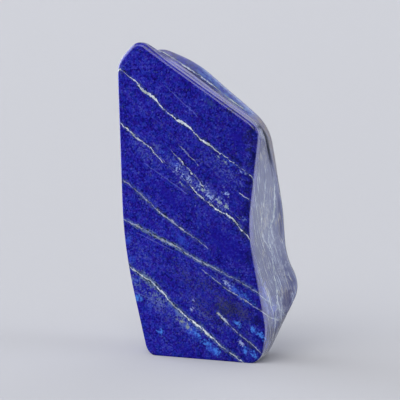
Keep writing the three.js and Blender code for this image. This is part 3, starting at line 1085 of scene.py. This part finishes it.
# %% Thread colours
WISP, WISP_LIMITS, WISP_LEAST, WISP_MOST = "#7f8be0", (0.35, 0.6), 0.2, 0.3
VEIL, VEIL_MM, VEIL_LIMITS, VEIL_LEAST, VEIL_MOST = "#62789a", 1.6, (0.4, 0.58), 0.1, 0.85
SELVAGE, SELVAGE_MM, SELVAGE_LIMITS, SELVAGE_MOST = "#0a092c", (1.9, 0.8, 1.9), (0.55, 0.8), 0.85
CALCITE, STAINED_CALCITE, STAIN_MM, STAIN_LIMITS = "#d6dee6", "#a6b0b0", 9, (0.45, 0.6)
CLEAR_LIMITS, CLEAR_LEAST = (0.0, 0.6), 0.7

faint = add(rock, "MapRange", mottle, *WISP_LIMITS, WISP_LEAST, WISP_MOST)
wisp = add(rock, "Math", wisp, faint, operation="MULTIPLY")
colour = add(rock, "Mix", wisp, colour, linear(WISP), data_type="RGBA")
milk = add(rock, "TexNoise", place, 1 / VEIL_MM, 3.0, 0.6)
milk = add(rock, "MapRange", milk, *VEIL_LIMITS, VEIL_LEAST, VEIL_MOST)
milk = add(rock, "Math", milk, veil, operation="MULTIPLY")
colour = add(rock, "Mix", milk, colour, linear(VEIL), data_type="RGBA")
dark_grains, _, _ = cells_of(upper_layers, SELVAGE_MM)
dark_grains = add(rock, "MapRange", dark_grains, *SELVAGE_LIMITS, 0.0, SELVAGE_MOST)
selvage = add(rock, "Math", border, dark_grains, operation="MULTIPLY")
colour = add(rock, "Mix", selvage, colour, linear(SELVAGE), data_type="RGBA")
stain = add(rock, "TexNoise", place, 1 / STAIN_MM, 2.0, 0.5)
stain = add(rock, "MapRange", stain, *STAIN_LIMITS)
calcite = add(rock, "Mix", stain, linear(CALCITE), linear(STAINED_CALCITE), data_type="RGBA")
_, _, clarity = clumps["upper"]
clarity = add(rock, "MapRange", clarity, *CLEAR_LIMITS, CLEAR_LEAST, 1.0)
thread_share = add(rock, "Math", thread, clarity, operation="MULTIPLY")
colour = add(rock, "Mix", thread_share, colour, calcite, data_type="RGBA")
print("calcite", CALCITE, "stained", STAINED_CALCITE, "veil", VEIL, "selvage", SELVAGE)


# %% [markdown]
# ### Gloss
#
# The lapped face is the smoothest, at a roughness of 0.1. Sides held to a belt by hand keep a softer gloss,
# and calcite, being softer, polishes duller. The low facets, whose darker colour is painted shade, were
# left at a coarse grit, and the crust along the seam wasn't polished at all, so both are matt. The finest
# ripples are too small to model, so a bump stands in there.

# %% Gloss
ROUGH_FACE, ROUGH_SIDE, ROUGH_CALCITE = 0.10, 0.22, 0.3
ROUGH_FACET, ROUGH_CRUST = 0.62, 0.95
LAPIS_IOR = 1.50
GLOSS_DEPTHS, RIPPLE_DEPTHS = (1.0, 5.0), (1.5, 5.0)
RIPPLE_MM = (9, 9, 0.7)
RIPPLE_HEIGHT = 0.07 * MM

rough = add(rock, "MapRange", depth, *GLOSS_DEPTHS, ROUGH_FACE, ROUGH_SIDE)
rough = add(rock, "Mix", thread, rough, ROUGH_CALCITE, data_type="FLOAT")
facets = add(rock, "Math", shaded_facets, side, operation="MULTIPLY")
rough = add(rock, "Mix", facets, rough, ROUGH_FACET, data_type="FLOAT")
rough = add(rock, "Mix", crust, rough, ROUGH_CRUST, data_type="FLOAT")
off_face = add(rock, "MapRange", depth, *RIPPLE_DEPTHS)
ripples = add(rock, "Mapping", bent, None, LAYER_TURN, RIPPLE_MM, vector_type="TEXTURE")
ripples = add(rock, "TexNoise", ripples, 1.0, 3.0, 0.6)
bump = add(rock, "Bump", off_face, RIPPLE_HEIGHT, None, ripples)
for name, source in (("Base Color", colour), ("Roughness", rough), ("Normal", bump)):
    rock.links.new(shown(source.outputs)[0], surface.inputs[name])
surface.inputs["IOR"].default_value = LAPIS_IOR
stone.data.materials.clear()
stone.data.materials.append(lapis)
print("lapis material:", len(rock.nodes), "nodes")


# %% [markdown]
# ## A small studio
#
# A polished stone shows its surroundings, so the studio matters as much as the material. The floor is a
# plain, pale sheet of matt paper. It is left out of reflections, as a black cloth in front of a polished
# stone would do in a real studio.

# %% Floor
FLOOR_COLOUR = "#b2b2b6"
FLOOR_HALF = 30.0
FLOOR_CORNERS = ((-1, -1), (1, -1), (1, 1), (-1, 1))
PAPER_ROUGHNESS = 0.9

floor = bpy.data.objects.new("floor", bpy.data.meshes.new("floor"))
corners = [(x * FLOOR_HALF, y * FLOOR_HALF, 0) for x, y in FLOOR_CORNERS]
floor.data.from_pydata(corners, [], [(0, 1, 2, 3)])
bpy.context.scene.collection.objects.link(floor)
paper = bpy.data.materials.new("matt_paper")
paper.use_nodes = True
matt = paper.node_tree.nodes["Principled BSDF"]
matt.inputs["Base Color"].default_value = linear(FLOOR_COLOUR)
matt.inputs["Roughness"].default_value = PAPER_ROUGHNESS
floor.data.materials.append(paper)
floor.visible_glossy = False
print("floor:", 2 * FLOOR_HALF, "m wide")


# %% [markdown]
# ### Softboxes
#
# Each softbox is a sun lamp with a wide disc: it lights the stone and the whole floor alike, as a large box
# far away would. It is given by its compass direction from behind the stone, its height above the floor and
# the width of its disc in degrees, its radiance and its tint. A height below zero puts the middle of the
# disc under the floor, and the stone still mirrors it, because the floor is left out of reflections. Nine
# softboxes stand round the stone:
#
# - two low on the right, which the ground side mirrors
# - two far right, a low one for the face's right edge and a high one for its upper corner
# - two behind, for the ledge and for the low shoulder
# - one on the left, which draws the bright line on the rim
# - one in front to the left, which fills the rounded corner
# - one high in front, which lights the blue itself
#
# Where the flat face looks, low in front to the left, it stays dark, which keeps the face deep.

# %% Softboxes
SOFTBOXES = {
    "right, for the ground side": (58, -12, 42, 1.5, "#eef6ff"),
    "right, low and wide": (50, -8, 52, 1.6, "#eef6ff"),
    "far right, for the edge": (90, -12, 44, 3.9, "#f1f6ff"),
    "far right, high, for the corner": (84, 33, 26, 3.5, "#f1f6ff"),
    "behind, for the ledge": (0, 33, 30, 1.2, "#f6f6ff"),
    "behind, low, for the shoulder": (18, 10, 24, 1.3, "#eef6ff"),
    "left, for the rim": (-80, 12, 56, 4.5, "#eef4ff"),
    "front left, for the corner": (-128, 26, 40, 2.5, "#eef4ff"),
    "front, for the blue": (180, 42, 50, 3.0, "#ffffff"),
}

for name, (compass, elevation, spread, radiance, tint) in SOFTBOXES.items():
    turn, rise = math.radians(compass), math.radians(elevation)
    out = Vector((math.sin(turn) * math.cos(rise), math.cos(turn) * math.cos(rise), math.sin(rise)))
    lamp = bpy.data.lights.new(name, "SUN")
    lamp.angle = math.radians(spread)
    # A sun lamp's energy is what falls on a surface that faces it: its radiance times the size of its disc.
    lamp.energy = radiance * math.pi * math.sin(lamp.angle / 2) ** 2
    lamp.color = linear(tint)[:3]
    hung = bpy.data.objects.new(name, lamp)
    hung.rotation_euler = out.to_track_quat("Z", "Y").to_euler()
    bpy.context.scene.collection.objects.link(hung)
print("softboxes:", "; ".join(SOFTBOXES))


# %% [markdown]
# ### A faint sky
#
# The walls of a studio send a weak light back. Here it is an even glow above a tilted horizon: behind the
# stone it reaches the floor, and in front it starts high up, out of the flat face's reflection.

# %% Sky
SKY = 0.5
SKY_TILT = 0.45
HORIZON_SOFT = 0.1

world = bpy.data.worlds.new("studio")
world.use_nodes = True
bpy.context.scene.world = world
air = world.node_tree
facing = add(air, "TexCoord").outputs["Generated"]
height = add(air, "VectorMath", facing, (0, SKY_TILT, 1), operation="DOT_PRODUCT").outputs["Value"]
glow = add(air, "MapRange", height, -HORIZON_SOFT, HORIZON_SOFT, 0.0, SKY)
air.links.new(glow.outputs[0], air.nodes["Background"].inputs["Strength"])
air.nodes["Background"].inputs["Color"].default_value = linear("#ffffff")
bpy.context.scene.view_settings.view_transform = "Standard"
print("sky: radiance", SKY, "above a horizon tilted by", round(math.degrees(math.atan(SKY_TILT))), "degrees")
